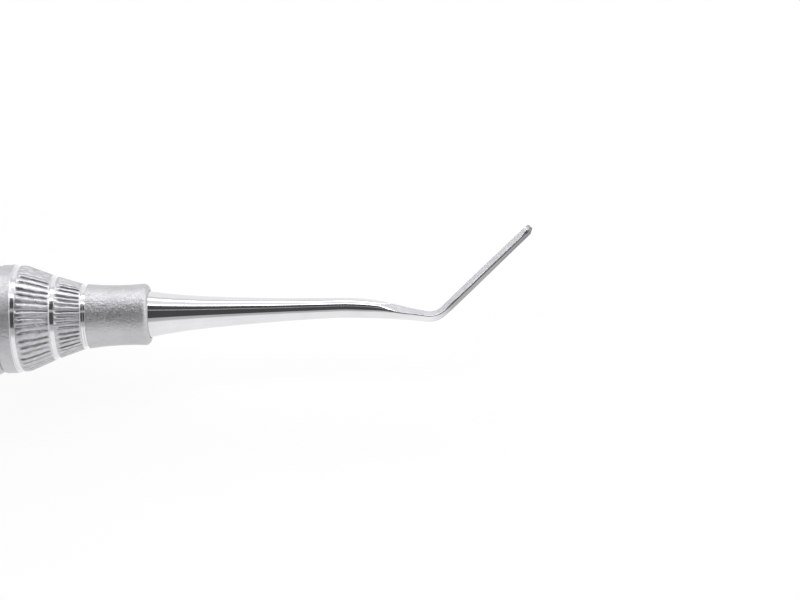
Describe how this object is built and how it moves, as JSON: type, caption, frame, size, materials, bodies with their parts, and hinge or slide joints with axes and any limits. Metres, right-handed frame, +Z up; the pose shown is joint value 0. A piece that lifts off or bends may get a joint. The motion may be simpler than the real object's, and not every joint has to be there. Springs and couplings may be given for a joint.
{
  "type": "dental elevator",
  "caption": "Hollow-handled dental elevator with fluted tapering noses, a slim polished shank and an angled gouge blade.",
  "frame": {"origin": "middle of the grip's lowest flat, which the instrument lies on", "axes": "+X along the handle towards the working end, +Y the way the blade is bent, +Z up from the flat"},
  "size_m": [0.1619, 0.0126, 0.0104],
  "materials": {
    "satin_steel": "bead-blasted satin stainless steel",
    "fluted_steel": "fluted, with polished crests and ring grooves",
    "polished_steel": "mirror-polished stainless steel",
    "turned_steel": "as turned, hidden inside the handle",
    "seal_silicone": "plain silicone"
  },
  "bodies": {
    "root": {"grip_tube": "satin_steel", "front_cone": "fluted_steel", "front_collar": "satin_steel", "front_seal_ring": "seal_silicone", "tang_bushing": "turned_steel", "tang_pin": "turned_steel", "working_tip": "polished_steel", "rear_cone": "fluted_steel", "rear_collar": "satin_steel", "rear_seal_ring": "seal_silicone", "rear_plug": "polished_steel"}
  },
  "joints": []
}
